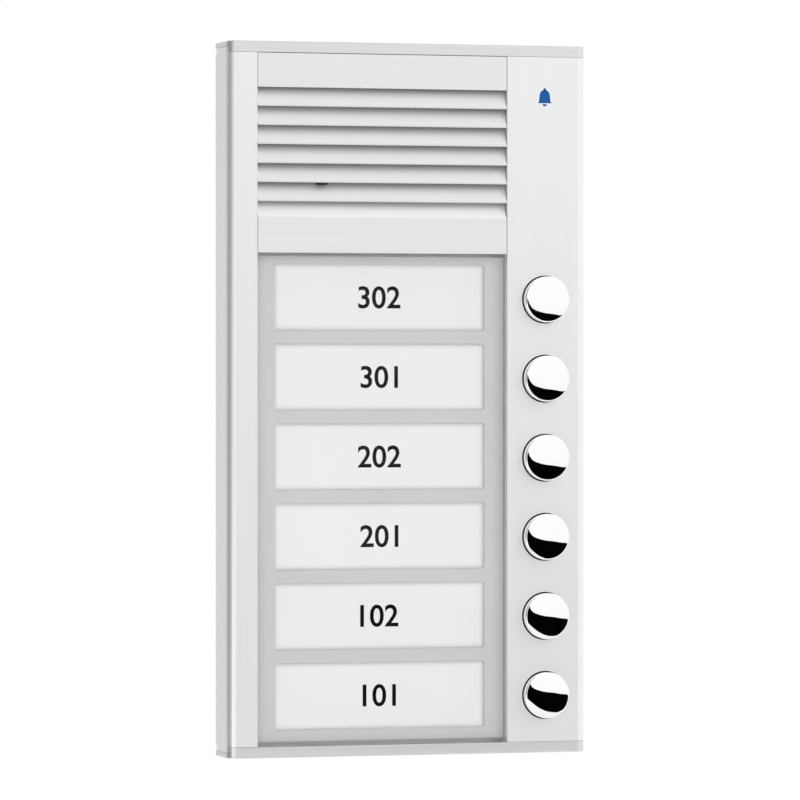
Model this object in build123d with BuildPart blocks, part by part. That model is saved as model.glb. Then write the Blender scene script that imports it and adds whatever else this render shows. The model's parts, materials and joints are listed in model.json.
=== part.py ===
from build123d import *
import os

os.makedirs("parts", exist_ok=True)

# A surface-mounted door intercom panel for six flats.
# +X is right and +Z up, seen from the front.  The wall is the plane y = 0 and the panel stands off it
# towards -Y, with the origin at the centre of its four wall screws.  Every "off" value below is a
# distance off the wall, so a face at off = 19 lies at y = -19.

# ---- driving dimensions, in millimetres ----
width = 136.0
height = 260.0
depth = 19.0
wall = 1.8
corner_radius = 3.3
wall_gap = 0.3            # the housing's rear edge stays this far off the wall
play = 0.15               # gap round pieces that are slid or dropped in

cap_plate = 2.1           # an end cap's thickness along Z
cap_lip = 2.0             # its front lip reaches this much further over the housing
cap_play = 0.1
running_clearance = 0.08

channel_left = -57.1      # the full-height channel that holds the grille and the window
channel_right = 37.7
channel_wall = 2.0
groove_low = 15.25
groove_high = 16.35
groove_depth = 1.0
tongue_reach = 0.8

web_low = 8.9             # the channel's floor
web_high = 10.4
board_low = 7.1
board_high = 8.7
back_plate_high = 2.0

module_low = 53.3         # height of the joint between window and grille
slat_pitch = 6.9
slat_count = 6
top_panel_low = 113.4     # the grille's top flat panel ends here
slat_overlap = 0.8        # a slat's rear edge rises this far behind the panel or slat above it
slat_reach = 3.4
slat_lip = 0.5
slat_thickness = 1.3
grille_skin = 1.6

cover_low = 15.3
cover_high = 18.1
mask_low = 13.8
mask_high = 14.9
label_low = 13.4
label_high = 13.7
diffuser_low = 11.1
diffuser_high = 13.3

row_count = 6
row_pitch = 29.1
first_row = 37.3          # height of the top label's centre
button_drop = 0.6         # each button sits this much below its label's centre
label_window_width = 79.6
label_window_height = 24.1

button_x = 52.2
button_radius = 8.45
button_hole_radius = 8.85
button_edge = 22.5        # the cap's rounded rim ends here and its shallow dome begins
button_dome = 22.8
button_rim = 1.0
button_ceiling = 21.3     # underside of the hollow cap
flange_radius = 9.9       # the rim that keeps the cap behind the housing's front skin
flange_low = 15.9
flange_high = 17.0
stem_radius = 2.2
stem_end = 13.8
plunger_radius = 1.65
plunger_end = 9.8
carrier_low = 13.2
carrier_high = 14.6

speaker_x = 0.0
speaker_z = 97.0
speaker_hole_radius = 24.0
microphone_x = -32.5
microphone_z = 78.5

wall_screw_x = 45.0
wall_screw_z = 105.0
wall_screw_radius = 2.3
cable_x = -10.0
cable_z = 0.0
cable_radius = 3.5

# ---- values worked out from them ----
half_width = width / 2
half_height = height / 2
inner_x = half_width - wall
skin_low = depth - wall
profile_end = half_height - cap_plate
lip_end = profile_end - cap_lip
channel_centre = (channel_left + channel_right) / 2
label_centres = [first_row - row * row_pitch for row in range(row_count)]
button_centres = [z - button_drop for z in label_centres]
port_off = 10.5
port_radius = 2.6
port_left = -(inner_x - port_radius - 0.95)
port_right = inner_x - port_radius
port_places = [(port_left, -port_off), (port_right, -port_off)]
port_bore = 1.3
board_screw_places = [(x, z) for x in (-52.4, 33.0) for z in (58.0, -35.5, -112.0)]
lug_places = (-40.0, 40.0)
standing = (Align.CENTER, Align.CENTER, Align.MIN)


def facing(off):
    """The plane parallel to the wall at a distance off it; its own x and y are X and Z."""
    return Plane.XZ.offset(off)


def field(left, right, low, high, mode=Mode.ADD):
    """A rectangle of a sketch, given by its edges."""
    with Locations(((left + right) / 2, (low + high) / 2)):
        Rectangle(right - left, high - low, mode=mode)


def frame(half_x, half_z, bar):
    """A rectangular frame of a sketch, centred on the origin, with bars of one width."""
    field(-half_x, half_x, -half_z, half_z)
    field(-half_x + bar, half_x - bar, -half_z + bar, half_z - bar, Mode.SUBTRACT)


def tongues(left, right, low, high):
    """Two strips that run in the channel's grooves, on a piece that reaches from left to right."""
    for near, far in ((left - tongue_reach, left + 0.5), (right - 0.5, right + tongue_reach)):
        with BuildSketch(Plane.XY.offset(low)) as strip:
            field(near, far, -groove_high + 0.1, -groove_low - 0.1)
        extrude(strip.sketch, amount=high - low)


def keep(piece, name):
    """Label a finished sub-part and write its file."""
    piece.part.label = name
    export_step(piece.part, f"parts/{name}.step")


def outer_outline(section):
    """The housing's outer section on an XY plane, rounded at its two front corners."""
    field(-half_width, half_width, -depth, -wall_gap)
    fillet(section.vertices().group_by(Axis.Y)[0], corner_radius)


# ---- housing: one aluminium extrusion ----
with BuildPart() as housing_profile:
    with BuildSketch(Plane.XY.offset(-profile_end)) as section:
        outer_outline(section)
        field(-inner_x, inner_x, -skin_low, -wall_gap, Mode.SUBTRACT)
        field(channel_left - channel_wall, channel_left, -depth + 1, -web_low)
        field(channel_right, channel_right + channel_wall, -depth + 1, -web_low)
        field(channel_left - 0.5, channel_right + 0.5, -web_high, -web_low)
        field(channel_left, channel_right, -depth, -web_high, Mode.SUBTRACT)
        groove_left = channel_left - groove_depth
        groove_right = channel_right + groove_depth
        field(groove_left, groove_right, -groove_high, -groove_low, Mode.SUBTRACT)
        with Locations(*port_places):
            Circle(port_radius)
        field(-inner_x - 0.5, port_left, -port_off - 0.6, -port_off + 0.6)
        field(port_right, inner_x + 0.5, -port_off - 0.6, -port_off + 0.6)
        with Locations(*port_places):
            Circle(port_bore, mode=Mode.SUBTRACT)
    extrude(amount=2 * profile_end)
    for end in (-1, 1):
        with BuildSketch(Plane.XY.offset(end * lip_end)):
            field(-half_width, half_width, -depth, -skin_low)
        extrude(amount=end * cap_lip, mode=Mode.SUBTRACT)
        with BuildSketch(Plane.XY.offset(end * lip_end)):
            field(-half_width, -inner_x, -wall_gap - 1.2, -wall_gap)
            field(inner_x, half_width, -wall_gap - 1.2, -wall_gap)
        extrude(amount=end * cap_lip, mode=Mode.SUBTRACT)
    with BuildSketch(facing(skin_low - 0.5)):
        with Locations(*[(button_x, z) for z in button_centres]):
            Circle(button_hole_radius)
    extrude(amount=wall + 1, mode=Mode.SUBTRACT)
    with BuildSketch(facing(web_low - 0.5)):
        with Locations(*[(channel_centre, z) for z in label_centres]):
            RectangleRounded(76, 18, 2)
        with Locations((speaker_x, speaker_z)):
            Circle(speaker_hole_radius)
        with Locations((microphone_x, microphone_z)):
            Circle(5.15)
        with Locations(*board_screw_places):
            Circle(1.1)
    extrude(amount=web_high - web_low + 1, mode=Mode.SUBTRACT)
keep(housing_profile, "housing_profile")


# ---- end caps ----
def end_cap(end):
    """A moulded cap: an end plate with a lip that continues the front face; end is 1 at the top."""
    with BuildPart() as cap:
        with BuildSketch(Plane.XY.offset(end * (profile_end + cap_play))) as section:
            outer_outline(section)
        extrude(amount=end * (cap_plate - cap_play))
        rim = cap.faces().sort_by(Axis.Z)[-1 if end > 0 else 0].edges()
        chamfer(rim, 0.3)
        with BuildSketch(Plane.XY.offset(end * (lip_end + cap_play))) as lip:
            outer_outline(lip)
            field(-half_width, half_width, -depth, -skin_low - cap_play, Mode.INTERSECT)
        extrude(amount=end * (cap_lip + 0.5))
        for x, y in port_places:
            with Locations(Plane(origin=(x, y, end * half_height), z_dir=(0, 0, end))):
                CounterSinkHole(1.6, 2.75, depth=cap_plate + 1)
        if end > 0:
            with BuildSketch(Plane.XY.offset(profile_end + 0.5)):
                for x in lug_places:
                    field(x - 5, x + 5, -5.0, -3.4)
            extrude(amount=-6.5)
        else:
            with Locations(Plane(origin=(0, -5, -half_height), z_dir=(0, 0, -1))):
                CounterSinkHole(1.65, 2.95, depth=cap_plate + 1)
            with BuildSketch(Plane.XY.offset(-half_height - 1)):
                with Locations((-30, -13), (-26, -13), (26, -13), (30, -13)):
                    SlotOverall(3, 1.4, rotation=90)
            extrude(amount=cap_plate + 2, mode=Mode.SUBTRACT)
    return cap


keep(end_cap(1), "top_end_cap")
keep(end_cap(-1), "bottom_end_cap")


def countersunk_screw(place, head_radius, shank_radius, length, hex_radius):
    """A countersunk hexagon-socket screw; the plane's normal runs along the shank, from the head."""
    with Locations(place):
        Cone(head_radius, shank_radius, head_radius - shank_radius, align=standing)
        Cylinder(shank_radius, length, align=standing)
    with BuildSketch(place) as socket:
        RegularPolygon(hex_radius, 6)
    extrude(socket.sketch, amount=0.8, mode=Mode.SUBTRACT)


with BuildPart() as end_cap_screws:
    for end in (1, -1):
        for x, y in port_places:
            head = Plane(origin=(x, y, end * (half_height - 0.05)), x_dir=(1, 0, 0), z_dir=(0, 0, -end))
            countersunk_screw(head, 2.6, 1.2, 11, 0.9)
keep(end_cap_screws, "end_cap_screws")

with BuildPart() as locking_screw:
    head = Plane(origin=(0, -5, -half_height + 0.05), x_dir=(1, 0, 0), z_dir=(0, 0, 1))
    countersunk_screw(head, 2.8, 1.45, 10, 1.1)
keep(locking_screw, "locking_screw")

# ---- back plate and what it carries ----
plate_x = inner_x - 0.5
plate_z = profile_end - 0.5
seal_x = plate_x - 2.5
seal_z = plate_z - 2.5
seal_width = 4.0

with BuildPart() as back_plate:
    with BuildSketch(facing(0)):
        field(-plate_x, plate_x, -plate_z, plate_z)
    extrude(amount=back_plate_high)
    fillet(back_plate.edges().filter_by(Axis.Y), 1.5)
    with BuildSketch(facing(0)):
        frame(seal_x, seal_z, seal_width)
    extrude(amount=1.0, mode=Mode.SUBTRACT)
    with BuildSketch(facing(back_plate_high)):
        field(-5, 5, -plate_z + 1, -118)
    extrude(amount=6.0)
    with Locations(Plane(origin=(0, -5, -plate_z), z_dir=(0, 0, -1))):
        Hole(1.5, depth=9.6)
    for x in lug_places:
        with BuildSketch(Plane.YZ.offset(x - 7)):
            field(-6.6, -1.5, 117.6, 119.2)
            field(-6.6, -5.4, 117.6, 125.0)
        extrude(amount=14)
    with BuildSketch(facing(0)):
        with GridLocations(2 * wall_screw_x, 2 * wall_screw_z, 2, 2):
            Circle(wall_screw_radius)
        with Locations((cable_x, cable_z)):
            Circle(8)
    extrude(amount=back_plate_high + 1, mode=Mode.SUBTRACT)
    for z in (-70, 70):
        with BuildSketch(facing(back_plate_high)):
            field(-30, 30, z - 1, z + 1)
        extrude(amount=1.0)
keep(back_plate, "back_plate")

with BuildPart() as wall_seal:
    with BuildSketch(facing(0)):
        frame(seal_x, seal_z, seal_width)
    extrude(amount=1.0)
keep(wall_seal, "wall_seal")

with BuildPart() as cable_grommet:
    with Locations(Plane(origin=(cable_x, 0, cable_z), z_dir=(0, -1, 0))):
        Cylinder(7.9, 3.4, align=standing)
    with Locations(Plane(origin=(cable_x, -back_plate_high - 0.1, cable_z), z_dir=(0, -1, 0))):
        Cylinder(9.6, 1.3, align=standing)
    with Locations(Plane(origin=(cable_x, 0, cable_z), z_dir=(0, 1, 0))):
        Hole(cable_radius, depth=4)
keep(cable_grommet, "cable_grommet")

# ---- speaker grille: flat panels, slanted slats and the tongues that run in the channel's grooves ----
grille_left = channel_left + play
grille_right = channel_right - play
grille_width = grille_right - grille_left
grille_high = lip_end - cap_play
ramp_low = 66.3           # the lower flat panel ends here and slopes back under the last slat
slat_root = depth - slat_reach
rib_low = 13.6
rib_high = slat_root + 0.2
rib_width = 1.2
rib_places = (grille_left, -36.5, -27.5, -9.7, 8.5, 22.5, grille_right - rib_width)

with BuildPart() as speaker_grille:
    with BuildSketch(Plane.YZ.offset(grille_left)):
        field(-depth, -depth + grille_skin, top_panel_low, grille_high)
        field(-depth, -depth + grille_skin, module_low, ramp_low)
        for slat in range(slat_count):
            foot = top_panel_low - (slat + 1) * slat_pitch
            crown = foot + slat_pitch + slat_overlap
            with BuildLine():
                Polyline(
                    (-depth, foot), (-depth, foot + slat_lip), (-slat_root, crown),
                    (-slat_root, crown - slat_thickness), (-depth + 1.1, foot), close=True,
                )
            make_face()
        last_crown = top_panel_low - slat_count * slat_pitch + slat_overlap
        with BuildLine():
            Polyline(
                (-depth, ramp_low), (-slat_root, last_crown), (-slat_root, last_crown - grille_skin),
                (-depth + grille_skin, ramp_low - 1.0), (-depth, ramp_low - 1.0), close=True,
            )
        make_face()
    extrude(amount=grille_width)
    for x in rib_places:
        with BuildSketch(Plane.YZ.offset(x)):
            field(-rib_high, -rib_low, ramp_low - 0.6, top_panel_low + 2)
            field(-depth + grille_skin - 0.5, -rib_low, top_panel_low + 0.5, grille_high)
            field(-depth + grille_skin - 0.5, -rib_low, module_low, ramp_low - 0.5)
        extrude(amount=rib_width)
    with BuildSketch(facing(slat_root - 0.5)):
        with Locations((microphone_x, microphone_z + 0.3)):
            Rectangle(4.2, 2.6)
    extrude(amount=2.0, mode=Mode.SUBTRACT)
    tongues(grille_left, grille_right, module_low, ramp_low - 1)
    tongues(grille_left, grille_right, top_panel_low + 1, grille_high)
keep(speaker_grille, "speaker_grille")

with BuildPart() as acoustic_mesh:
    with BuildSketch(facing(13.15)):
        field(-55.5, 36.0, 60, 124.5)
        with Locations((microphone_x, microphone_z)):
            Circle(5.3, mode=Mode.SUBTRACT)
    extrude(amount=0.35)
keep(acoustic_mesh, "acoustic_mesh")

# ---- loudspeaker ----
frame_low = web_high + 0.05
frame_high = 11.7
screw_reach = 22.5
speaker_screw_places = [
    (speaker_x + x, speaker_z + z) for x in (-screw_reach, screw_reach) for z in (-screw_reach, screw_reach)
]


def turned(points):
    """A solid of revolution about the speaker's axis, from (radius, off) points."""
    with BuildSketch(Plane(origin=(speaker_x, 0, speaker_z), x_dir=(1, 0, 0), z_dir=(0, 0, 1))) as section:
        with BuildLine():
            Polyline(*[(radius, -off) for radius, off in points], close=True)
        make_face()
    revolve(section.sketch, axis=Axis((speaker_x, 0, speaker_z), (0, 1, 0)), revolution_arc=360)


with BuildPart() as speaker_gasket:
    with BuildSketch(facing(frame_high + 0.05)):
        with Locations((speaker_x, speaker_z)):
            RectangleRounded(51, 51, 4)
            Circle(22.6, mode=Mode.SUBTRACT)
        with Locations(*speaker_screw_places):
            Circle(2.6, mode=Mode.SUBTRACT)
    extrude(amount=1.3)
keep(speaker_gasket, "speaker_gasket")

with BuildPart() as speaker_basket:
    with BuildSketch(facing(frame_low)):
        with Locations((speaker_x, speaker_z)):
            RectangleRounded(52, 52, 4)
            Circle(22.4, mode=Mode.SUBTRACT)
        with Locations(*speaker_screw_places):
            Circle(1.3, mode=Mode.SUBTRACT)
    extrude(amount=frame_high - frame_low)
    turned([
        (22.4, frame_high), (23.2, frame_high), (23.2, 9.2), (14.0, 5.0),
        (5.0, 5.0), (5.0, 5.8), (13.4, 5.8), (22.4, 9.9),
    ])
    with BuildSketch(facing(6.2)):
        with Locations((speaker_x, speaker_z)):
            with PolarLocations(18.4, 4, start_angle=45):
                Circle(4.0)
    extrude(amount=3.6, mode=Mode.SUBTRACT)
    with BuildSketch(facing(6.6)):
        with Locations((speaker_x - 3, speaker_z - 17.7), (speaker_x + 3, speaker_z - 17.7)):
            Rectangle(2.4, 3.4)
    extrude(amount=0.8)
keep(speaker_basket, "speaker_basket")

with BuildPart() as speaker_cone:
    turned([
        (22.2, 11.3), (20.2, 11.9), (18.2, 11.2), (7.0, 7.6), (5.2, 8.5), (0, 9.2),
        (0, 8.8), (5.0, 8.1), (7.0, 7.1), (18.4, 10.8), (20.2, 11.4), (22.2, 10.8),
    ])
keep(speaker_cone, "speaker_cone")

with BuildPart() as speaker_magnet:
    turned([(3.0, 2.6), (13.6, 2.6), (13.6, 4.9), (3.0, 4.9)])
    fillet(speaker_magnet.edges().filter_by(GeomType.CIRCLE).group_by(SortBy.RADIUS)[-1], 0.4)
keep(speaker_magnet, "speaker_magnet")

with BuildPart() as speaker_screws:
    for x, z in speaker_screw_places:
        head = Plane(origin=(x, -frame_high - 1.0, z), x_dir=(1, 0, 0), z_dir=(0, 1, 0))
        with Locations(head):
            Cylinder(2.2, 1.0, align=standing)
            Cylinder(1.2, 2.2, align=standing)
        with BuildSketch(head):
            Rectangle(2.6, 0.5)
            Rectangle(0.5, 2.6)
        extrude(amount=0.6, mode=Mode.SUBTRACT)
keep(speaker_screws, "speaker_screws")

socket_low = 2.7
with BuildPart() as speaker_socket:
    with BuildSketch(facing(socket_low)):
        field(speaker_x - 5.2, speaker_x + 5.2, 58, 65.6)
    extrude(amount=board_low - socket_low)
    chamfer(speaker_socket.edges().filter_by(Axis.Z), 0.5)
keep(speaker_socket, "speaker_socket")

with BuildPart() as speaker_leads:
    for side in (-3, 3):
        x = speaker_x + side
        with BuildLine() as lead:
            FilletPolyline(
                (x, -7.0, speaker_z - 19.4), (x, -7.0, 74.2), (x, -4.8, 70.2), (x, -4.8, 65.6), radius=3.2
            )
        with BuildSketch(Plane(origin=(x, -7.0, speaker_z - 19.4), z_dir=(0, 0, -1))):
            Circle(0.6)
        sweep(path=lead.line)
keep(speaker_leads, "speaker_leads")

# ---- microphone: a capsule in a rubber boot whose flat nozzle reaches out between two slats ----
with BuildPart() as microphone_boot:
    with Locations(Plane(origin=(microphone_x, -web_low - 0.3, microphone_z), z_dir=(0, -1, 0))):
        Cylinder(5.0, 4.2, align=standing)
    with BuildSketch(facing(13.0)):
        with Locations((microphone_x, microphone_z)):
            SlotOverall(3.8, 0.6)
    extrude(amount=5.5)
    with Locations(Plane(origin=(microphone_x, -web_low - 0.3, microphone_z), z_dir=(0, 1, 0))):
        Hole(3.05, depth=3.2)
keep(microphone_boot, "microphone_boot")

with BuildPart() as microphone_capsule:
    with Locations(Plane(origin=(microphone_x, -board_high, microphone_z), z_dir=(0, -1, 0))):
        Cylinder(2.95, 3.6, align=standing)
    chamfer(microphone_capsule.edges().group_by(Axis.Y)[0], 0.3)
keep(microphone_capsule, "microphone_capsule")

# ---- window: clear cover, mask, name labels and light diffuser ----
cover_bottom = -lip_end + cap_play
cover_top = module_low - 0.1

with BuildPart() as window_cover:
    with BuildSketch(facing(cover_low)):
        field(channel_left + play, channel_right - play, cover_bottom, cover_top)
    extrude(amount=cover_high - cover_low)
    chamfer(window_cover.edges().group_by(Axis.Y)[0], 0.2)
    tongues(channel_left + play, channel_right - play, cover_bottom, cover_top)
keep(window_cover, "window_cover")

mask_left = channel_left + play
mask_right = channel_right - play
mask_bottom = -124.4
mask_top = 52.1
mask_rim = 1.0
rim_left = mask_left + mask_rim
rim_right = mask_right - mask_rim
window_chamfer = 0.35

with BuildPart() as label_mask:
    with BuildSketch(facing(mask_low)):
        field(mask_left, mask_right, mask_bottom, mask_top)
    extrude(amount=mask_high - mask_low)
    with BuildSketch(facing(web_high + 0.05)):
        field(mask_left, mask_right, mask_bottom, mask_top)
        field(rim_left, rim_right, mask_bottom + mask_rim, mask_top - mask_rim, Mode.SUBTRACT)
    extrude(amount=mask_low - web_high)
    with BuildSketch(facing(mask_low - 1)):
        with Locations(*[(channel_centre, z) for z in label_centres]):
            RectangleRounded(label_window_width, label_window_height, 1.0)
    extrude(amount=mask_high - mask_low + 2, mode=Mode.SUBTRACT)
    window_edges = label_mask.faces().sort_by(Axis.Y)[0].inner_wires().edges()
    chamfer(window_edges, window_chamfer)
keep(label_mask, "label_mask")

for row, z in enumerate(label_centres):
    with BuildPart() as name_label:
        with BuildSketch(facing(label_low)):
            with Locations((channel_centre, z)):
                RectangleRounded(label_window_width + 3, label_window_height + 2.2, 1.0)
        extrude(amount=label_high - label_low)
    keep(name_label, f"name_label_{row + 1}")

with BuildPart() as light_diffuser:
    with BuildSketch(facing(diffuser_low)):
        field(rim_left + play, rim_right - play, mask_bottom + 1.2, mask_top - 1.2)
    extrude(amount=diffuser_high - diffuser_low)
    fillet(light_diffuser.edges().filter_by(Axis.Y), 1.0)
keep(light_diffuser, "light_diffuser")

# ---- electronics ----
with BuildPart() as backlight_leds:
    for z in label_centres:
        for x in (channel_centre - 19, channel_centre + 19):
            with BuildSketch(facing(board_high)):
                with Locations((x, z)):
                    Rectangle(3.5, 2.8)
            extrude(amount=0.6)
            with BuildSketch(facing(board_high + 0.6)):
                with Locations((x, z)):
                    Rectangle(2.9, 2.2)
            extrude(amount=0.4)
keep(backlight_leds, "backlight_leds")

with BuildPart() as circuit_board:
    with BuildSketch(facing(board_low)):
        field(-56, 60, -117, 66)
        field(-56, -24, 60, 88)
    extrude(amount=board_high - board_low)
    fillet(circuit_board.edges().filter_by(Axis.Y), 1.0)
    with BuildSketch(facing(board_low)):
        with Locations(*board_screw_places):
            Circle(1.3)
    extrude(amount=board_high - board_low, mode=Mode.SUBTRACT)
keep(circuit_board, "circuit_board")

with BuildPart() as circuit_board_screws:
    for x, z in board_screw_places:
        head = Plane(origin=(x, -board_low + 1.4, z), x_dir=(1, 0, 0), z_dir=(0, -1, 0))
        with Locations(head):
            Cylinder(2.3, 1.4, align=standing)
            Cylinder(1.05, 4.6, align=standing)
        with BuildSketch(head):
            Rectangle(2.8, 0.5)
            Rectangle(0.5, 2.8)
        extrude(amount=0.8, mode=Mode.SUBTRACT)
keep(circuit_board_screws, "circuit_board_screws")

# rear-side parts: (centre x, centre z, width, height, thickness)
chips = [
    (-30, -40, 14, 14, 1.6), (10, -60, 10, 7, 1.8), (38, 20, 8, 12, 1.8),
    (-36, 2, 7, 7, 1.2), (20, -95, 12, 8, 3.6),
]
# rear-side cans: (centre x, centre z, radius, thickness)
cans = [
    (-44, -82, 4.0, 4.2), (-32, -84, 4.0, 4.2), (36, -75, 3.2, 4.0),
    (45, 50, 4.0, 4.2), (-46, 76, 3.2, 4.0),
]
with BuildPart() as circuit_components:
    for x, z, wide, high, thick in chips:
        with BuildSketch(facing(board_low)):
            with Locations((x, z)):
                Rectangle(wide, high)
        extrude(amount=-thick)
    for x, z, radius, thick in cans:
        with BuildSketch(facing(board_low)):
            with Locations((x, z)):
                Circle(radius)
        extrude(amount=-thick)
keep(circuit_components, "circuit_components")

terminal_x = -10.0
terminal_z = 34.0
terminal_pitch = 5.0
terminal_places = [terminal_x + (way - 1.5) * terminal_pitch for way in range(4)]
with BuildPart() as terminal_block:
    with BuildSketch(facing(board_low)):
        field(terminal_x - 10.4, terminal_x + 10.4, terminal_z - 4.5, terminal_z + 4.5)
    extrude(amount=-4.5)
    for x in terminal_places:
        with BuildSketch(Plane.XY.offset(terminal_z - 4.5)):
            field(x - 1.5, x + 1.5, -6.4, -4.6)
        extrude(amount=5.0, mode=Mode.SUBTRACT)
        with BuildSketch(facing(board_low - 4.5)):
            with Locations((x, terminal_z + 1)):
                Circle(1.75)
        extrude(amount=3.0, mode=Mode.SUBTRACT)
keep(terminal_block, "terminal_block")

with BuildPart() as terminal_screws:
    for x in terminal_places:
        head = Plane(origin=(x, -board_low + 4.1, terminal_z + 1), x_dir=(1, 0, 0), z_dir=(0, -1, 0))
        with Locations(head):
            Cylinder(1.6, 1.4, align=standing)
        with BuildSketch(head):
            Rectangle(3.4, 0.5)
        extrude(amount=0.6, mode=Mode.SUBTRACT)
keep(terminal_screws, "terminal_screws")

trimmer_z = 34.0
trimmers = [("volume_trimmer_rotor", -34.0), ("microphone_trimmer_rotor", -45.0)]
with BuildPart() as trimmer_bases:
    for name, x in trimmers:
        with BuildSketch(facing(board_low)):
            with Locations((x, trimmer_z)):
                Rectangle(6.5, 6.5)
        extrude(amount=-2.9)
        with BuildSketch(facing(board_low - 2.9)):
            with Locations((x, trimmer_z)):
                Circle(2.28)
        extrude(amount=1.8, mode=Mode.SUBTRACT)
keep(trimmer_bases, "trimmer_bases")

for name, x in trimmers:
    with BuildPart() as rotor:
        head = Plane(origin=(x, -board_low + 3.3, trimmer_z), x_dir=(1, 0, 0), z_dir=(0, -1, 0))
        with Locations(head):
            Cylinder(2.2, 2.0, align=standing)
        with BuildSketch(head):
            Rectangle(3.4, 0.6)
        extrude(amount=0.7, mode=Mode.SUBTRACT)
    keep(rotor, name)

# ---- call buttons: cap, plunger and return spring over a switch, behind one carrier ----
carrier_reach = 10.4
leg_places = [(x, z - row_pitch / 2) for x in (43.6, 57.2) for z in button_centres[:-1]]
with BuildPart() as button_carrier:
    with BuildSketch(facing(carrier_low)):
        field(40.6, 60.4, button_centres[-1] - carrier_reach, button_centres[0] + carrier_reach)
        with Locations(*[(button_x, z) for z in button_centres]):
            Circle(stem_radius + running_clearance, mode=Mode.SUBTRACT)
    extrude(amount=carrier_high - carrier_low)
    with BuildSketch(facing(board_high)):
        with Locations(*leg_places):
            Circle(1.8)
    extrude(amount=carrier_low - board_high + 0.2)
keep(button_carrier, "button_carrier")

with BuildPart() as switch_bodies:
    for z in button_centres:
        with BuildSketch(facing(board_high)):
            with Locations((button_x, z)):
                Rectangle(6.2, 6.2)
                Circle(plunger_radius + running_clearance, mode=Mode.SUBTRACT)
        extrude(amount=3.3)
keep(switch_bodies, "switch_bodies")

spring_radius = 4.4
spring_wire = 0.3
spring_low = carrier_high + spring_wire + 0.1
spring_high = button_ceiling - spring_wire - 0.1
dome_reach = button_radius - button_rim
dome_rise = button_dome - button_edge
dome_radius = (dome_reach**2 + dome_rise**2) / (2 * dome_rise)
dome_sag = dome_radius - (dome_radius**2 - (dome_reach / 2) ** 2) ** 0.5
dome_middle = (dome_reach / 2, -button_dome + dome_sag)
bore_radius = 7.2         # inside of the hollow cap
rim_start = (button_radius, -button_edge + button_rim)
for row, z in enumerate(button_centres):
    with BuildPart() as button_cap:
        with BuildSketch(Plane(origin=(button_x, 0, z), x_dir=(1, 0, 0), z_dir=(0, 0, 1))):
            with BuildLine():
                Line((0, -button_dome), (0, -stem_end))
                Polyline(
                    (0, -stem_end), (stem_radius, -stem_end), (stem_radius, -button_ceiling),
                    (bore_radius, -button_ceiling), (bore_radius, -flange_low), (flange_radius, -flange_low),
                    (flange_radius, -flange_high), (button_radius, -flange_high), rim_start,
                )
                TangentArc(rim_start, (dome_reach, -button_edge), tangent=(0, -1))
                ThreePointArc((dome_reach, -button_edge), dome_middle, (0, -button_dome))
            make_face()
        revolve(axis=Axis((button_x, 0, z), (0, 1, 0)), revolution_arc=360)
    keep(button_cap, f"button_cap_{row + 1}")

    with BuildPart() as switch_plunger:
        with Locations(Plane(origin=(button_x, -plunger_end, z), z_dir=(0, -1, 0))):
            Cylinder(plunger_radius, stem_end - plunger_end, align=standing)
    keep(switch_plunger, f"switch_plunger_{row + 1}")

    with BuildPart() as button_spring:
        with BuildLine() as coil:
            Helix(
                pitch=(spring_high - spring_low) / 4, height=spring_high - spring_low, radius=spring_radius,
                center=(button_x, -spring_low, z), direction=(0, -1, 0),
            )
        with BuildSketch(Plane(origin=coil.line @ 0, z_dir=coil.line % 0)):
            Circle(spring_wire)
        sweep(path=coil.line, is_frenet=True)
    keep(button_spring, f"button_spring_{row + 1}")

print(len(os.listdir("parts")), "pieces written")
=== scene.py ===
import bmesh
import bpy
import json
from math import cos, pi, radians, sin
from mathutils import Matrix, Vector


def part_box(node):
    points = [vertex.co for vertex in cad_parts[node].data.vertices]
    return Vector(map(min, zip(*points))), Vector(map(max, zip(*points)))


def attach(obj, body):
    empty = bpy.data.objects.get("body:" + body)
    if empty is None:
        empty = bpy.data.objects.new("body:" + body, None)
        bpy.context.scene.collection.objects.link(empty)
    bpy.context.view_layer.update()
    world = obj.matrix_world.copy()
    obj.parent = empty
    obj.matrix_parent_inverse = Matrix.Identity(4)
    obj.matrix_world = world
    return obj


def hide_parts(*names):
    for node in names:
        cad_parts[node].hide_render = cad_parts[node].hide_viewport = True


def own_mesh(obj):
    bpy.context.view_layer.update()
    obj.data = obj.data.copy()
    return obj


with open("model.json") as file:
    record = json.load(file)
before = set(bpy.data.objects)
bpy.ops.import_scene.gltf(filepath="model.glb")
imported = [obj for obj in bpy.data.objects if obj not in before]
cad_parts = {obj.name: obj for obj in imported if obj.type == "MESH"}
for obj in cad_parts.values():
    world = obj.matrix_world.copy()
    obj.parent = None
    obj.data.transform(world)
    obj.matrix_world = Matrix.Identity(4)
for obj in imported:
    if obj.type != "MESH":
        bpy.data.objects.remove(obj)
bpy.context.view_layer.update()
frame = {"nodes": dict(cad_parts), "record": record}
nodes = frame["nodes"]
record = frame["record"]
mm = 0.001
print("frame loaded:", len(nodes), "CAD nodes")


def newMaterial(name):
    material = bpy.data.materials.new(name)
    material.use_nodes = True
    return material, material.node_tree, material.node_tree.nodes["Principled BSDF"]


def addNode(tree, kind, **values):
    node = tree.nodes.new(kind)
    for key, value in values.items():
        setattr(node, key, value)
    return node


def link(tree, source, target):
    tree.links.new(source, target)


def stretchedNoise(tree, scale, detail=4.0):
    # noise on the piece's own coordinates; a small scale along one axis draws it out into grain
    place = addNode(tree, "ShaderNodeTexCoord")
    mapping = addNode(tree, "ShaderNodeMapping")
    mapping.inputs["Scale"].default_value = scale
    noise = addNode(tree, "ShaderNodeTexNoise")
    noise.inputs["Scale"].default_value = 1.0
    noise.inputs["Detail"].default_value = detail
    link(tree, place.outputs["Object"], mapping.inputs["Vector"])
    link(tree, mapping.outputs["Vector"], noise.inputs["Vector"])
    return noise.outputs["Fac"]


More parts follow.
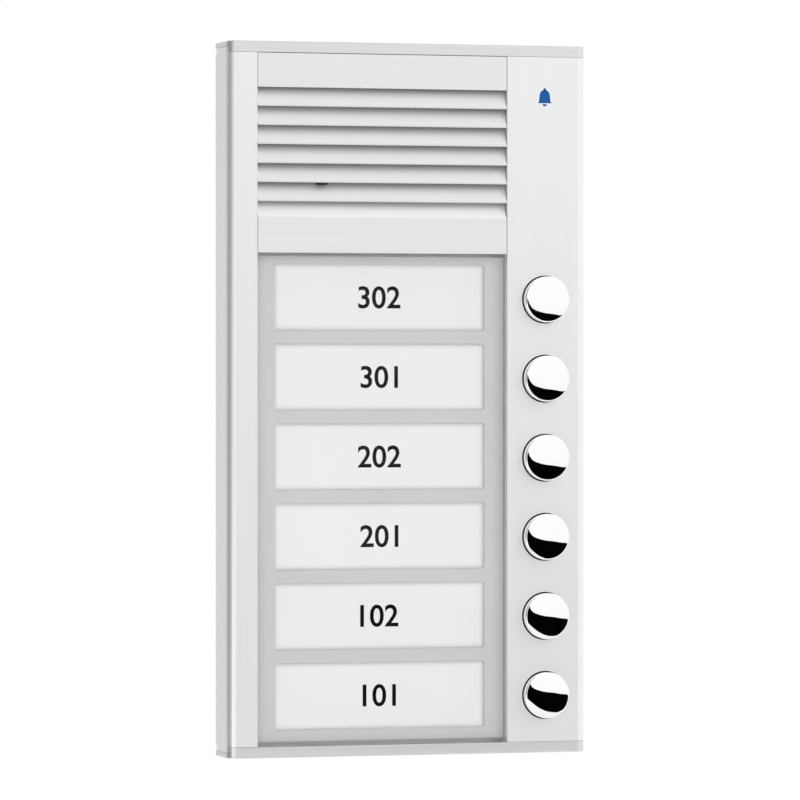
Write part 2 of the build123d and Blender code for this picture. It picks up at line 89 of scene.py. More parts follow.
def spread(tree, value, low, high, fromLow=0.3, fromHigh=0.7):
    node = addNode(tree, "ShaderNodeMapRange")
    node.inputs["From Min"].default_value = fromLow
    node.inputs["From Max"].default_value = fromHigh
    node.inputs["To Min"].default_value = low
    node.inputs["To Max"].default_value = high
    link(tree, value, node.inputs["Value"])
    return node.outputs["Result"]


def bump(tree, shader, height, distance, strength):
    node = addNode(tree, "ShaderNodeBump")
    node.inputs["Distance"].default_value = distance
    node.inputs["Strength"].default_value = strength
    link(tree, height, node.inputs["Height"])
    link(tree, node.outputs["Normal"], shader.inputs["Normal"])


def tone(tree, shader, value, dark, light):
    ramp = addNode(tree, "ShaderNodeMix", data_type="RGBA")
    ramp.inputs[6].default_value = (*dark, 1)
    ramp.inputs[7].default_value = (*light, 1)
    link(tree, value, ramp.inputs[0])
    link(tree, ramp.outputs[2], shader.inputs["Base Color"])


profileFinish = {"dark": (0.825, 0.83, 0.835), "light": (0.85, 0.855, 0.86), "roughness": (0.32, 0.37),
                 "metallic": 0.65, "grain": (3200, 3200, 9), "bumpDepth": 0.000004, "bumpStrength": 0.03}
grilleFinish = {"dark": (0.735, 0.735, 0.73), "light": (0.77, 0.77, 0.765), "roughness": (0.42, 0.52),
                "metallic": 0.3, "grain": (9, 3200, 3200), "bumpDepth": 0.000006, "bumpStrength": 0.05}
# the slats' copy of the grille finish, made darker as painted shade against the light on their upturned faces
slatPaintedShadeFinish = dict(grilleFinish, dark=(0.67, 0.67, 0.665), light=(0.70, 0.70, 0.695))
capFinish = {"dark": (0.70, 0.70, 0.69), "light": (0.745, 0.745, 0.735), "roughness": (0.32, 0.38),
             "metallic": 0.8, "grain": (20, 2600, 2600), "bumpDepth": 0.000005, "bumpStrength": 0.05}


def grainedMetal(name, finish):
    material, tree, shader = newMaterial(name)
    grain = stretchedNoise(tree, finish["grain"], 5.0)
    soft = spread(tree, grain, 0.0, 1.0)
    tone(tree, shader, soft, finish["dark"], finish["light"])
    link(tree, spread(tree, grain, *finish["roughness"]), shader.inputs["Roughness"])
    bump(tree, shader, grain, finish["bumpDepth"], finish["bumpStrength"])
    shader.inputs["Metallic"].default_value = finish["metallic"]
    return material


# colour, roughness, metallic, speckle scale, bump strength, and how far the colour varies where not 0.06
plainFinishes = {
    "screw_steel": ((0.60, 0.61, 0.63), 0.32, 1.0, 3000, 0.04),
    "back_plate_steel": ((0.58, 0.59, 0.61), 0.42, 1.0, 120, 0.03),
    "seal_foam": ((0.05, 0.05, 0.055), 0.95, 0.0, 2600, 0.6),
    "black_rubber": ((0.008, 0.008, 0.009), 0.7, 0.0, 1500, 0.15),
    "acoustic_cloth": ((0.03, 0.03, 0.034), 0.9, 0.0, 4000, 0.6),
    "basket_steel": ((0.04, 0.04, 0.045), 0.5, 0.0, 1500, 0.08),
    "cone_paper": ((0.14, 0.13, 0.12), 0.9, 0.0, 900, 0.5),
    "ferrite": ((0.10, 0.10, 0.105), 0.6, 0.0, 1500, 0.2),
    "capsule_metal": ((0.70, 0.70, 0.72), 0.3, 1.0, 2000, 0.04),
    "mask_grey": ((0.665, 0.672, 0.685), 0.5, 0.0, 2200, 0.03, 0.02),
    "diffuser_acrylic": ((0.88, 0.89, 0.90), 0.3, 0.0, 800, 0.02),
    "led_package": ((0.90, 0.86, 0.60), 0.25, 0.0, 3000, 0.02),
    "board_green": ((0.02, 0.18, 0.08), 0.35, 0.0, 500, 0.05),
    "component_black": ((0.025, 0.025, 0.025), 0.5, 0.0, 2500, 0.1),
    "switch_black": ((0.03, 0.03, 0.03), 0.5, 0.0, 2500, 0.08),
    "terminal_green": ((0.05, 0.30, 0.11), 0.45, 0.0, 2000, 0.05),
    "trimmer_blue": ((0.03, 0.10, 0.34), 0.35, 0.0, 2000, 0.05),
    "trimmer_white": ((0.80, 0.79, 0.75), 0.5, 0.0, 2000, 0.05),
    "plunger_plastic": ((0.76, 0.75, 0.70), 0.45, 0.0, 2000, 0.05),
    "spring_steel": ((0.50, 0.51, 0.53), 0.25, 1.0, 3000, 0.05),
    "lead_insulation": ((0.50, 0.03, 0.02), 0.45, 0.0, 2500, 0.05),
    "socket_white": ((0.82, 0.81, 0.76), 0.5, 0.0, 2000, 0.05),
}


def speckled(name, colour, roughness, metallic, scale, bumpStrength, variation=0.06):
    material, tree, shader = newMaterial(name)
    speckle = stretchedNoise(tree, (scale, scale, scale))
    soft = spread(tree, speckle, 0.0, 1.0)
    tone(tree, shader, soft, tuple((1 - variation) * c for c in colour),
         tuple(min(1.0, (1 + variation) * c) for c in colour))
    link(tree, spread(tree, speckle, roughness - 0.05, roughness + 0.05), shader.inputs["Roughness"])
    bump(tree, shader, speckle, 0.00004, bumpStrength)
    shader.inputs["Metallic"].default_value = metallic
    return material


# the film's own white is the middle colour; the edge colour and its reach are the mask's shadow, painted onto the film
labelFinish = {"middle": (0.94, 0.947, 0.955), "edge": (0.75, 0.757, 0.775), "maskShadow": 2.2, "roughness": 0.6}


def labelFilmWithPaintedShadow(name):
    # the film's UV map is in millimetres from the middle of its window; towards the frame it darkens into a painted
    # shadow of the mask
    material, tree, shader = newMaterial(name)
    place = addNode(tree, "ShaderNodeUVMap", uv_map="windowPlace")
    size = addNode(tree, "ShaderNodeUVMap", uv_map="windowSize")
    gap = addNode(tree, "ShaderNodeVectorMath", operation="ABSOLUTE")
    link(tree, place.outputs[0], gap.inputs[0])
    room = addNode(tree, "ShaderNodeVectorMath", operation="SUBTRACT")
    link(tree, size.outputs[0], room.inputs[0])
    link(tree, gap.outputs[0], room.inputs[1])
    parts = addNode(tree, "ShaderNodeSeparateXYZ")
    link(tree, room.outputs[0], parts.inputs[0])
    nearest = addNode(tree, "ShaderNodeMath", operation="SMOOTH_MIN")
    nearest.inputs[2].default_value = 1.5
    link(tree, parts.outputs["X"], nearest.inputs[0])
    link(tree, parts.outputs["Y"], nearest.inputs[1])
    maskShadow = addNode(tree, "ShaderNodeMapRange", interpolation_type="SMOOTHSTEP")
    maskShadow.inputs["From Min"].default_value = -0.6
    maskShadow.inputs["From Max"].default_value = labelFinish["maskShadow"]
    link(tree, nearest.outputs[0], maskShadow.inputs["Value"])
    tone(tree, shader, maskShadow.outputs["Result"], labelFinish["edge"], labelFinish["middle"])
    fibre = stretchedNoise(tree, (900, 900, 900))
    bump(tree, shader, fibre, 0.00002, 0.02)
    link(tree, spread(tree, fibre, labelFinish["roughness"] - 0.05, labelFinish["roughness"] + 0.05),
         shader.inputs["Roughness"])
    return material


def clearPlastic(name):
    # a thin clear sheet: it lets everything through unbent and mirrors by its Fresnel share
    material, tree, shader = newMaterial(name)
    tree.nodes.remove(shader)
    clear = addNode(tree, "ShaderNodeBsdfTransparent")
    clear.inputs["Color"].default_value = (1, 1, 1, 1)
    mirror = addNode(tree, "ShaderNodeBsdfGlossy")
    mirror.inputs["Color"].default_value = (1, 1, 1, 1)
    share = addNode(tree, "ShaderNodeFresnel")
    share.inputs["IOR"].default_value = 1.18
    wipe = stretchedNoise(tree, (60, 60, 25), 2.0)
    link(tree, spread(tree, wipe, 0.012, 0.03), mirror.inputs["Roughness"])
    mix = addNode(tree, "ShaderNodeMixShader")
    link(tree, share.outputs[0], mix.inputs[0])
    link(tree, clear.outputs[0], mix.inputs[1])
    link(tree, mirror.outputs[0], mix.inputs[2])
    link(tree, mix.outputs[0], tree.nodes["Material Output"].inputs["Surface"])
    return material


def polishedChrome(name):
    material, tree, shader = newMaterial(name)
    smear = stretchedNoise(tree, (220, 220, 220), 3.0)
    link(tree, spread(tree, smear, 0.008, 0.025), shader.inputs["Roughness"])
    tone(tree, shader, smear, (0.93, 0.935, 0.94), (0.97, 0.972, 0.975))
    shader.inputs["Metallic"].default_value = 1.0
    return material


def printInk(name, colour):
    material, tree, shader = newMaterial(name)
    patch = stretchedNoise(tree, (3000, 3000, 3000), 2.0)
    tone(tree, shader, patch, tuple(0.85 * c for c in colour), colour)
    shader.inputs["Roughness"].default_value = 0.6
    shader.inputs["Specular IOR Level"].default_value = 0.1
    return material


finishes = {name: speckled(name, *values) for name, values in plainFinishes.items()}
finishes["anodised_aluminium"] = grainedMetal("anodised_aluminium", profileFinish)
finishes["grille_silver"] = grainedMetal("grille_silver", grilleFinish)
# the same grille metal, darker on the slats as painted shade
slatSilverPaintedShade = grainedMetal("slat_silver_painted_shade", slatPaintedShadeFinish)
finishes["cap_grey"] = grainedMetal("cap_grey", capFinish)
finishes["clear_cover"] = clearPlastic("clear_cover")
finishes["label_film"] = labelFilmWithPaintedShadow("label_film")
finishes["button_chrome"] = polishedChrome("button_chrome")
blackInk = printInk("black_ink", (0.002, 0.002, 0.003))
blueInk = printInk("blue_ink", (0.01, 0.11, 0.36))
slotOf = {part["node"]: part["material_slot"] for part in record["subparts"]}
bodyOf = {node: body for body, members in record["behaviour"]["bodies"].items() for node in members}
for nodeName, cadObject in nodes.items():
    cadObject.data.materials.clear()
    cadObject.data.materials.append(finishes[slotOf[nodeName]])
print("finishes made:", len(finishes))


def finishPiece(mesh, name, smoothAngle=32):
    mesh.shade_smooth()
    mesh.set_sharp_from_angle(angle=radians(smoothAngle))
    piece = bpy.data.objects.new(name, mesh)
    bpy.context.scene.collection.objects.link(piece)
    return piece


def standFor(piece, node):
    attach(piece, bodyOf[node])
    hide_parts(node)


def weldedCopy(node, name, bevelWidth, smoothAngle=32):
    # a CAD node's shape with welded corners, soft edges and smooth rounds
    mesh = nodes[node].data.copy()
    mesh.name = name
    shape = bmesh.new()
    shape.from_mesh(mesh)
    bmesh.ops.remove_doubles(shape, verts=shape.verts, dist=0.000002)
    bmesh.ops.dissolve_limit(shape, angle_limit=radians(0.5), verts=shape.verts, edges=shape.edges)
    shape.to_mesh(mesh)
    shape.free()
    for layer in list(mesh.attributes):
        if layer.name == "custom_normal":
            mesh.attributes.remove(layer)
    piece = finishPiece(mesh, name, smoothAngle)
    if bevelWidth:
        soft = piece.modifiers.new("softEdges", "BEVEL")
        soft.width = bevelWidth
        soft.segments = 2
        soft.limit_method = "ANGLE"
        soft.angle_limit = radians(smoothAngle)
        soft.use_clamp_overlap = True
        soft.harden_normals = True
    flat = piece.modifiers.new("flatFaces", "WEIGHTED_NORMAL")
    flat.keep_sharp = True
    standFor(piece, node)


# how wide each piece's edges are rounded; 0 leaves them sharp
softEdges = {
    "housing_profile": 0.15 * mm,
    "top_end_cap": 0.15 * mm,
    "bottom_end_cap": 0.15 * mm,
    "window_cover": 0.0,
    "label_mask": 0.0,
    "back_plate": 0.2 * mm,
    "cable_grommet": 0.3 * mm,
}
for node, width in softEdges.items():
    weldedCopy(node, node + "_shell", width)
print("welded pieces made:", len(softEdges))

# chrome call buttons, turned about their axis; "High" values are distances off the wall
button = {"capRadius": 8.45 * mm, "rimRadius": 0.5 * mm, "domeRise": 0.34 * mm, "domeSteps": 12, "rimSteps": 8,
          "skinHigh": 18.8 * mm, "flangeHigh": 17.0 * mm, "flangeThick": 1.1 * mm, "flangeRadius": 9.9 * mm,
          "stemRadius": 2.2 * mm, "wall": 1.25 * mm, "crown": 1.5 * mm, "segments": 128}


def turnedMesh(name, outline, centre, segments):
    # outline: (radius, y) pairs from the axis round to the axis again
    shape = bmesh.new()
    rings = []
    for radius, y in outline:
        if radius < 1e-7:
            rings.append([shape.verts.new((centre.x, y, centre.z))])
            continue
        ring = []
        for step in range(segments):
            angle = 2 * pi * step / segments
            ring.append(shape.verts.new((centre.x + radius * cos(angle), y, centre.z + radius * sin(angle))))
        rings.append(ring)
    for first, second in zip(rings, rings[1:]):
        for step in range(segments):
            following = (step + 1) % segments
            corners = [first[step % len(first)], first[following % len(first)],
                       second[following % len(second)], second[step % len(second)]]
            kept = list(dict.fromkeys(corners))
            if len(kept) > 2:
                shape.faces.new(kept)
    bmesh.ops.recalc_face_normals(shape, faces=shape.faces)
    mesh = bpy.data.meshes.new(name)
    shape.to_mesh(mesh)
    shape.free()
    return mesh


def buttonOutline(low, high):
    # half a hollow cap: shallow dome, rounded rim, side wall, flange, inside and stem
    top = low.y
    rise = button["domeRise"]
    rim = button["rimRadius"]
    reach = button["capRadius"] - rim
    domeRadius = (reach * reach + rise * rise) / (2 * rise)
    inner = button["capRadius"] - button["wall"]
    outline = [(0.0, top)]
    for step in range(1, button["domeSteps"] + 1):
        r = reach * step / button["domeSteps"]
        outline.append((r, top + domeRadius - (domeRadius ** 2 - r * r) ** 0.5))
    for step in range(1, button["rimSteps"] + 1):
        angle = pi / 2 * step / button["rimSteps"]
        outline.append((reach + rim * sin(angle), top + rise + rim * (1 - cos(angle))))
    flange = -button["flangeHigh"]
    flangeBack = flange + button["flangeThick"]
    ceiling = top + button["crown"]
    outline += [(button["capRadius"], flange), (button["flangeRadius"], flange), (button["flangeRadius"], flangeBack),
                (inner, flangeBack), (inner, ceiling), (button["stemRadius"], ceiling),
                (button["stemRadius"], high.y), (0.0, high.y)]
    return outline


for row in range(1, 7):
    node = f"button_cap_{row}"
    low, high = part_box(node)
    centre = (low + high) / 2
    mesh = turnedMesh(f"call_button_{row}", buttonOutline(low, high), centre, button["segments"])
    mesh.materials.append(finishes["button_chrome"])
    # the second finish, black, paints the shade in the gap between each button and its hole
    mesh.materials.append(finishes["black_rubber"])
    for face in mesh.polygons:
        if face.center.y > -button["skinHigh"]:    # inside the housing the cap is black as painted shade for the gap round it
            face.material_index = 1
    piece = finishPiece(mesh, f"call_button_{row}", 40)
    standFor(piece, node)
print("buttons turned")

# louvred grille: slats under a top panel, a ramp down to the low panel, and upright ribs behind them
grille = {"skin": 1.6 * mm, "count": 6, "pitch": 6.9 * mm, "overlap": 0.8 * mm, "reach": 3.4 * mm, "lip": 0.5 * mm,
          "thick": 1.3 * mm, "topPanel": 113.4 * mm, "rampLow": 66.3 * mm, "round": 0.15 * mm, "tongue": 0.8 * mm,
          "ribWidth": 1.2 * mm, "ribs": (-36.5 * mm, -27.5 * mm, -9.7 * mm, 8.5 * mm, 22.5 * mm),
          "ribInset": 0.1 * mm, "ribOver": 2 * mm, "edgeRound": 0.25 * mm}


def newTree(name, sizes):
    tree = bpy.data.node_groups.new(name, "GeometryNodeTree")
    tree.interface.new_socket("Geometry", in_out="INPUT", socket_type="NodeSocketGeometry")
    for key, kind in sizes.items():
        tree.interface.new_socket(key, in_out="INPUT", socket_type=kind)
    tree.interface.new_socket("Geometry", in_out="OUTPUT", socket_type="NodeSocketGeometry")
    return tree, addNode(tree, "NodeGroupInput"), addNode(tree, "NodeGroupOutput")


def bakeTree(tree, name, values, outline):
    # runs a tree on a closed outline and keeps the result as a plain mesh
    seed = bpy.data.meshes.new(name + "_seed")
    seed.from_pydata(outline, [(here, (here + 1) % len(outline)) for here in range(len(outline))], [])
    holder = bpy.data.objects.new(name, seed)
    bpy.context.scene.collection.objects.link(holder)
    modifier = holder.modifiers.new("tree", "NODES")
    modifier.node_group = tree
    for item in tree.interface.items_tree:
        if item.item_type == "SOCKET" and item.in_out == "INPUT" and item.name in values:
            modifier[item.identifier] = values[item.name]
    bpy.context.view_layer.update()
    ready = holder.evaluated_get(bpy.context.evaluated_depsgraph_get())
    mesh = bpy.data.meshes.new_from_object(ready)
    mesh.name = name
    bpy.data.objects.remove(holder)
    return mesh


def slatTree():
    tree, given, result = newTree("louvreSlats", {
        "Length": "NodeSocketFloat", "Count": "NodeSocketInt", "Pitch": "NodeSocketFloat", "Start": "NodeSocketVector",
        "Rounding": "NodeSocketFloat", "Finish": "NodeSocketMaterial"})
    section = addNode(tree, "GeometryNodeMeshToCurve")
    link(tree, given.outputs["Geometry"], section.inputs[0])
    rounded = addNode(tree, "GeometryNodeFilletCurve", mode="POLY")
    rounded.inputs["Count"].default_value = 4
    link(tree, section.outputs[0], rounded.inputs["Curve"])
    link(tree, given.outputs["Rounding"], rounded.inputs["Radius"])
    face = addNode(tree, "GeometryNodeFillCurve", mode="NGONS")
    link(tree, rounded.outputs[0], face.inputs[0])
    pull = addNode(tree, "GeometryNodeExtrudeMesh")
    pull.inputs["Individual"].default_value = False
    link(tree, face.outputs[0], pull.inputs["Mesh"])
    link(tree, given.outputs["Length"], pull.inputs["Offset Scale"])
    back = addNode(tree, "GeometryNodeFlipFaces")
    link(tree, face.outputs[0], back.inputs[0])
    both = addNode(tree, "GeometryNodeJoinGeometry")
    link(tree, pull.outputs[0], both.inputs[0])
    link(tree, back.outputs[0], both.inputs[0])
    weld = addNode(tree, "GeometryNodeMergeByDistance")
    weld.inputs["Distance"].default_value = 0.000001
    link(tree, both.outputs[0], weld.inputs[0])
    turn = addNode(tree, "GeometryNodeTransform")
    turn.inputs["Rotation"].default_value = (pi / 2, 0, pi / 2)
    link(tree, weld.outputs[0], turn.inputs["Geometry"])
    step = addNode(tree, "ShaderNodeVectorMath", operation="SCALE")
    step.inputs[0].default_value = (0, 0, -1)
    link(tree, given.outputs["Pitch"], step.inputs["Scale"])
    row = addNode(tree, "GeometryNodeMeshLine")
    link(tree, given.outputs["Count"], row.inputs["Count"])
    link(tree, given.outputs["Start"], row.inputs["Start Location"])
    link(tree, step.outputs[0], row.inputs["Offset"])
    copies = addNode(tree, "GeometryNodeInstanceOnPoints")
    link(tree, row.outputs[0], copies.inputs["Points"])
    link(tree, turn.outputs[0], copies.inputs["Instance"])
    solid = addNode(tree, "GeometryNodeRealizeInstances")
    link(tree, copies.outputs[0], solid.inputs[0])
    finish = addNode(tree, "GeometryNodeSetMaterial")
    link(tree, solid.outputs[0], finish.inputs["Geometry"])
    link(tree, given.outputs["Finish"], finish.inputs["Material"])
    link(tree, finish.outputs[0], result.inputs[0])
    return tree


def bar(shape, outline, left, right):
    # a (y, z) outline drawn out along X
    first = [shape.verts.new((left, y, z)) for y, z in outline]
    last = [shape.verts.new((right, y, z)) for y, z in outline]
    shape.faces.new(first)
    shape.faces.new(reversed(last))
    for here in range(len(outline)):
        there = (here + 1) % len(outline)
        shape.faces.new((first[here], last[here], last[there], first[there]))


grilleLow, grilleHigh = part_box("speaker_grille")
left = grilleLow.x + grille["tongue"]
right = grilleHigh.x - grille["tongue"]
front = grilleLow.y
root = front + grille["reach"]
drop = grille["pitch"]
crown = drop + grille["overlap"]
slatOutline = [(front, 0, 0), (front, grille["lip"], 0), (root, crown, 0), (root, crown - grille["thick"], 0),
               (front + grille["thick"], 0, 0)]
slatMesh = bakeTree(slatTree(), "grille_slats", {
    "Length": right - left, "Count": grille["count"], "Pitch": drop, "Start": (left, 0.0, grille["topPanel"] - drop),
    "Rounding": grille["round"], "Finish": slatSilverPaintedShade}, slatOutline)
slats = finishPiece(slatMesh, "grille_slats", 40)
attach(slats, "panel")

shape = bmesh.new()
back = front + grille["skin"]
panelLow = grille["topPanel"]
rampLow = grille["rampLow"]
lastCrown = panelLow - grille["count"] * drop + grille["overlap"]
ribFront = root - grille["ribInset"]
ribTop = panelLow + grille["ribOver"]
bar(shape, [(front, panelLow), (front, grilleHigh.z), (back, grilleHigh.z), (back, panelLow)], left, right)
bar(shape, [(front, grilleLow.z), (front, rampLow), (root, lastCrown), (root, lastCrown - grille["skin"]),
            (back, rampLow - 1 * mm), (back, grilleLow.z)], left, right)
for x in (left, *grille["ribs"], right - grille["ribWidth"]):
    bar(shape, [(ribFront, rampLow), (ribFront, ribTop), (grilleHigh.y, ribTop), (grilleHigh.y, rampLow)],
        x, x + grille["ribWidth"])
bmesh.ops.recalc_face_normals(shape, faces=shape.faces)
panelMesh = bpy.data.meshes.new("grille_panels")
shape.to_mesh(panelMesh)
shape.free()
panelMesh.materials.append(finishes["grille_silver"])
panels = finishPiece(panelMesh, "grille_panels", 20)
soft = panels.modifiers.new("softEdges", "BEVEL")
soft.width = grille["edgeRound"]
soft.segments = 3
soft.angle_limit = radians(20)
soft.harden_normals = True
standFor(panels, "speaker_grille")
print("grille made")

# name labels: the mask covers this much of each edge
film = {"marginX": 1.5 * mm, "marginZ": 1.1 * mm, "corner": 1.0 * mm, "cornerSteps": 6}
for row in range(1, 7):
    low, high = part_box(f"name_label_{row}")
    middle = (low + high) / 2
    half = (high - low) / 2
    shape = bmesh.new()
    bmesh.ops.create_cube(shape, size=2)
    bmesh.ops.scale(shape, vec=half, verts=shape.verts)
    bmesh.ops.translate(shape, vec=middle, verts=shape.verts)
    upright = [edge for edge in shape.edges if abs(edge.verts[0].co.y - edge.verts[1].co.y) > half.y]
    bmesh.ops.bevel(shape, geom=upright, offset=film["corner"], segments=film["cornerSteps"],
                     affect="EDGES", profile=0.5)
    placeLayer = shape.loops.layers.uv.new("windowPlace")
    sizeLayer = shape.loops.layers.uv.new("windowSize")
    for face in shape.faces:
        for corner in face.loops:
            corner[placeLayer].uv = ((corner.vert.co.x - middle.x) / mm, (corner.vert.co.z - middle.z) / mm)
            corner[sizeLayer].uv = ((half.x - film["marginX"]) / mm, (half.z - film["marginZ"]) / mm)
    mesh = bpy.data.meshes.new(f"label_{row}")
    shape.to_mesh(mesh)
    shape.free()
    mesh.materials.append(finishes["label_film"])
    standFor(finishPiece(mesh, f"label_{row}", 30), f"name_label_{row}")
print("labels made")

# the microphone's flat nozzle, whose rounded tip shows between two slats
nozzle = {"width": 3.5 * mm, "height": 1.0 * mm, "lift": 0.05 * mm, "reach": 18.6 * mm, "length": 3.2 * mm,
          "steps": 24}
low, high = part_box("microphone_boot")
middle = (low + high) / 2
end = nozzle["height"] / 2
side = nozzle["width"] / 2 - end
outline = []
for step in range(nozzle["steps"]):
    angle = 2 * pi * step / nozzle["steps"]
    outline.append((middle.x + (side if cos(angle) > 0 else -side) + end * cos(angle),
                    middle.z + nozzle["lift"] + end * sin(angle)))
shape = bmesh.new()
near = [shape.verts.new((x, -nozzle["reach"], z)) for x, z in outline]
far = [shape.verts.new((x, nozzle["length"] - nozzle["reach"], z)) for x, z in outline]
shape.faces.new(near)
shape.faces.new(reversed(far))
for here in range(len(outline)):
    there = (here + 1) % len(outline)
    shape.faces.new((near[here], far[here], far[there], near[there]))
bmesh.ops.recalc_face_normals(shape, faces=shape.faces)
mesh = bpy.data.meshes.new("microphone_nozzle")
shape.to_mesh(mesh)
shape.free()
mesh.materials.append(finishes["black_rubber"])
piece = finishPiece(mesh, "microphone_nozzle", 40)
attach(piece, "panel")

# each return spring gets a mesh of its own; its bounds are read
for row in range(1, 7):
    coil = nodes[f"button_spring_{row}"]
    low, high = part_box(f"button_spring_{row}")
    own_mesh(coil)

numbers = {"texts": ("302", "301", "202", "201", "102", "101"), "capHeight": 8.2 * mm, "capShare": 0.73,
           "thick": 0.02 * mm, "heavier": 0.16 * mm}
bell = {"x": 52.1 * mm, "z": 110.9 * mm, "size": 6.6 * mm, "thick": 0.02 * mm}


def flatPiece(curve, name, ink, place):
    # turns a text into a thin mesh lying on a face that looks towards -Y
    holder = bpy.data.objects.new(name, curve)
    bpy.context.scene.collection.objects.link(holder)
    bpy.context.view_layer.update()
    mesh = bpy.data.meshes.new_from_object(holder.evaluated_get(bpy.context.evaluated_depsgraph_get()))
    bpy.data.objects.remove(holder)
    xs = [v.co.x for v in mesh.vertices]
    ys = [v.co.y for v in mesh.vertices]
    middle = Vector(((min(xs) + max(xs)) / 2, (min(ys) + max(ys)) / 2, 0))
    mesh.transform(Matrix.Translation(-middle))
    mesh.transform(Matrix.Rotation(pi / 2, 4, "X"))
    mesh.transform(Matrix.Translation(place))
    mesh.materials.clear()
    mesh.materials.append(ink)
    mesh.name = name
    piece = bpy.data.objects.new(name, mesh)
    bpy.context.scene.collection.objects.link(piece)
    return piece


for row, text in enumerate(numbers["texts"], start=1):
    low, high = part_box(f"name_label_{row}")
    curve = bpy.data.curves.new(f"number_{row}", "FONT")
    curve.body = text
    curve.size = numbers["capHeight"] / numbers["capShare"]
    curve.extrude = numbers["thick"] / 2
    curve.resolution_u = 6
    curve.offset = numbers["heavier"]
    place = Vector(((low.x + high.x) / 2, low.y - numbers["thick"] / 2, (low.z + high.z) / 2))
    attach(flatPiece(curve, f"flat_number_{row}", blackInk, place), "panel")


def bellMesh():
    # a door-bell sign: a dome on a flared skirt, a clapper below and a knob on top
    unit = bell["size"] / 10
    outline = [(4.2, -3.0), (3.4, -2.2)]
    outline += [(3.0 * cos(radians(a)), 1.2 + 3.2 * sin(radians(a))) for a in range(0, 181, 12)]
    outline += [(-3.4, -2.2), (-4.2, -3.0)]
    clapper = [(1.25 * cos(radians(a)), -3.5 + 1.25 * sin(radians(a))) for a in range(180, 361, 15)]
    knob = [(0.8 * cos(radians(a)), 4.6 + 0.8 * sin(radians(a))) for a in range(0, 360, 20)]
    shape = bmesh.new()
    for ring in (outline, clapper, knob):
        flat = [shape.verts.new((x * unit, 0, z * unit)) for x, z in ring]
        shape.faces.new(flat)
    bmesh.ops.recalc_face_normals(shape, faces=shape.faces)
    mesh = bpy.data.meshes.new("bell_sign")
    thick = bmesh.ops.extrude_face_region(shape, geom=shape.faces[:])
    for v in [g for g in thick["geom"] if isinstance(g, bmesh.types.BMVert)]:
        v.co.y -= bell["thick"]
    bmesh.ops.recalc_face_normals(shape, faces=shape.faces)
    shape.to_mesh(mesh)
    shape.free()
    return mesh


mesh = bellMesh()
mesh.transform(Matrix.Translation((bell["x"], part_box("housing_profile")[0].y, bell["z"])))
mesh.materials.append(blueInk)
sign = bpy.data.objects.new("bell_sign", mesh)
bpy.context.scene.collection.objects.link(sign)
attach(sign, "panel")
print("printed marks made")

studio = {"floorZ": -0.70, "floorSize": 4.6}
# each dark card: its outline as (along, height), its middle, its turn about Z in degrees and its glow
darkCards = {
    "dark_card_front": ([
        (0.14, 0.10), (0.26, 0.16), (0.36, 0.08), (0.42, -0.04), (0.48, -0.11), (0.58, -0.15), (0.74, -0.19),
        (0.92, -0.205), (1.10, -0.24), (1.28, -0.25), (1.38, -0.36), (1.28, -0.52), (1.08, -0.60), (0.88, -0.59),
        (0.70, -0.54), (0.54, -0.45), (0.40, -0.33), (0.20, -0.24)], (0, -2.32, 0), 0, 0.0),
    "dark_card_left": ([
        (-0.95, -1.2), (-0.1, -1.2), (0.0, -0.5), (0.2, 0.0), (0.7, 0.2), (0.8, 0.4), (0.8, 2.4),
        (-0.95, 2.4)], (-1.1, 0.82, 0), -113, 0.5),
}


def whiteFloor():
    material, tree, shader = newMaterial("studio_floor")
    shader.inputs["Base Color"].default_value = (0.92, 0.92, 0.92, 1)
    shader.inputs["Roughness"].default_value = 0.9
    shader.inputs["Emission Color"].default_value = (1, 1, 1, 1)
    shader.inputs["Emission Strength"].default_value = 0.15
    half = studio["floorSize"] / 2
    mesh = bpy.data.meshes.new("floor")
    corners = [(-half, -half, studio["floorZ"]), (half, -half, studio["floorZ"]),
               (half, half, studio["floorZ"]), (-half, half, studio["floorZ"])]
    mesh.from_pydata(corners, [], [(0, 1, 2, 3)])
    mesh.materials.append(material)
    floor = bpy.data.objects.new("floor", mesh)
    bpy.context.scene.collection.objects.link(floor)


def darkCard(name, outline, middle, turn, glow):
    curve = bpy.data.curves.new(name, "CURVE")
    curve.dimensions = "2D"
    curve.fill_mode = "BOTH"
    spline = curve.splines.new("NURBS")
    spline.points.add(len(outline) - 1)
    for point, (along, height) in zip(spline.points, outline):
        point.co = (along, height, 0, 1)
    spline.order_u = 3
    spline.use_cyclic_u = True
    material, tree, shader = newMaterial(name)
    shader.inputs["Base Color"].default_value = (0.001, 0.001, 0.001, 1)
    shader.inputs["Roughness"].default_value = 1.0
    shader.inputs["Specular IOR Level"].default_value = 0.0
    shader.inputs["Emission Color"].default_value = (1, 1, 1, 1)
    shader.inputs["Emission Strength"].default_value = glow
    curve.materials.append(material)
    card = bpy.data.objects.new(name, curve)
    card.matrix_world = (Matrix.Translation(middle) @ Matrix.Rotation(radians(turn), 4, "Z")
                         @ Matrix.Rotation(pi / 2, 4, "X"))
    bpy.context.scene.collection.objects.link(card)
    card.visible_camera = False
    card.visible_diffuse = False
    card.visible_shadow = False


whiteFloor()
for name, values in darkCards.items():
    darkCard(name, *values)


# each lamp: its place, what it aims at, its size and its power in watts
lamps = {
    "key_right": ((1.3, -1.3, 1.3), (0, 0, 0), (0.9, 0.9), 8),
    "top": ((0.0, -0.5, 1.5), (0, 0, 0), (1.2, 0.8), 4),
    "low_left": ((-0.55, -0.55, -0.35), (-0.06, 0, -0.1), (0.35, 0.5), 0.7),
}


def softbox(name, place, aim, size, power):
    light = bpy.data.lights.new(name, "AREA")
    light.shape = "RECTANGLE"
    light.size, light.size_y = size
    light.energy = power
    lamp = bpy.data.objects.new(name, light)
    lamp.location = place
    lamp.rotation_euler = (Vector(aim) - Vector(place)).to_track_quat("-Z", "Y").to_euler()
    bpy.context.scene.collection.objects.link(lamp)


for name, values in lamps.items():
    softbox(name, *values)

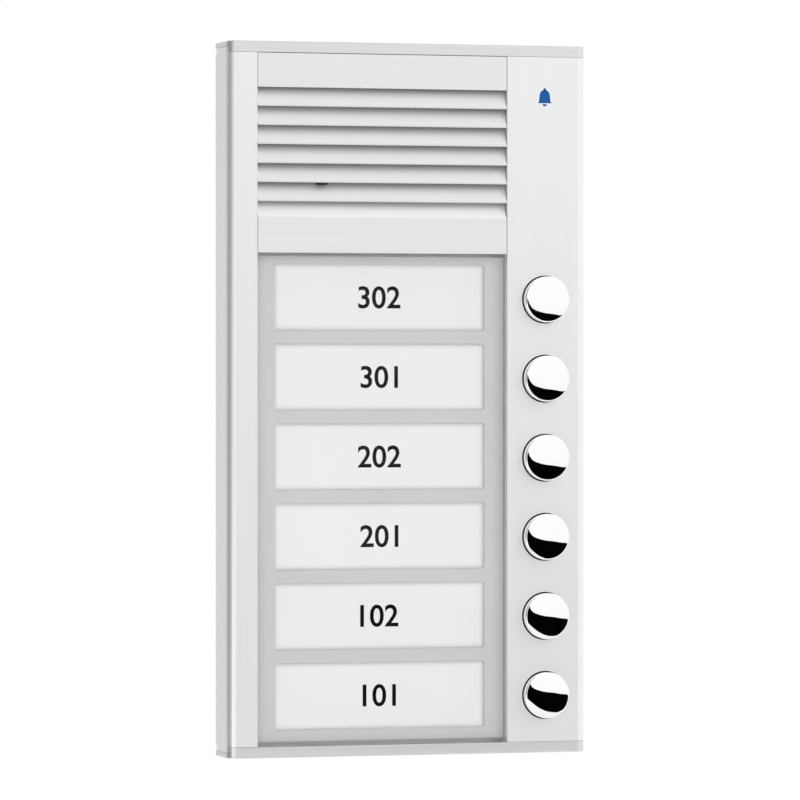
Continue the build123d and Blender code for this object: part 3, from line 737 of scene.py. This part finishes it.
# the room's brightness: two levels, and the two direction values between which it changes
room = {"below": (0.88, 1.0, -0.3, 0.0), "left": (0.1, 1.03, -0.98, -0.35), "ceiling": (1.0, 0.45, 0.6, 0.95)}


def studioWorld():
    # soft white light from all round, and plain white behind the panel
    world = bpy.data.worlds.new("studio")
    bpy.context.scene.world = world
    world.use_nodes = True
    tree = world.node_tree
    background = tree.nodes["Background"]
    path = addNode(tree, "ShaderNodeLightPath")
    place = addNode(tree, "ShaderNodeTexCoord")
    parts = addNode(tree, "ShaderNodeSeparateXYZ")
    link(tree, place.outputs["Generated"], parts.inputs[0])
    fromBelow = spread(tree, parts.outputs["Z"], *room["below"])
    fromLeft = spread(tree, parts.outputs["X"], *room["left"])
    ceiling = spread(tree, parts.outputs["Z"], *room["ceiling"])
    both = addNode(tree, "ShaderNodeMath", operation="MULTIPLY")
    link(tree, fromBelow, both.inputs[0])
    link(tree, fromLeft, both.inputs[1])
    light = addNode(tree, "ShaderNodeMath", operation="MULTIPLY")
    link(tree, both.outputs[0], light.inputs[0])
    link(tree, ceiling, light.inputs[1])
    seen = addNode(tree, "ShaderNodeMix", data_type="FLOAT")
    link(tree, path.outputs["Is Camera Ray"], seen.inputs[0])
    link(tree, light.outputs[0], seen.inputs[2])
    seen.inputs[3].default_value = 1.0
    link(tree, seen.outputs[0], background.inputs["Strength"])
    background.inputs["Color"].default_value = (1, 1, 1, 1)


studioWorld()
print("studio lit")
scene = bpy.context.scene
scene.view_settings.view_transform = "Standard"
scene.view_settings.look = "None"

view = {"place": (-0.537887, -1.855330, 0.008390), "ahead": (0.278446, 0.960442, -0.004343), "lens": 235.75,
        "shift": (0.00707, -0.00094)}
camera = bpy.data.cameras.new("camera")
camera.lens = view["lens"]
camera.shift_x, camera.shift_y = view["shift"]
camera.clip_start = 0.05
camera.clip_end = 50
viewer = bpy.data.objects.new("camera", camera)
viewer.location = view["place"]
viewer.rotation_euler = Vector(view["ahead"]).to_track_quat("-Z", "Y").to_euler()
scene.collection.objects.link(viewer)
scene.camera = viewer
print("camera placed")
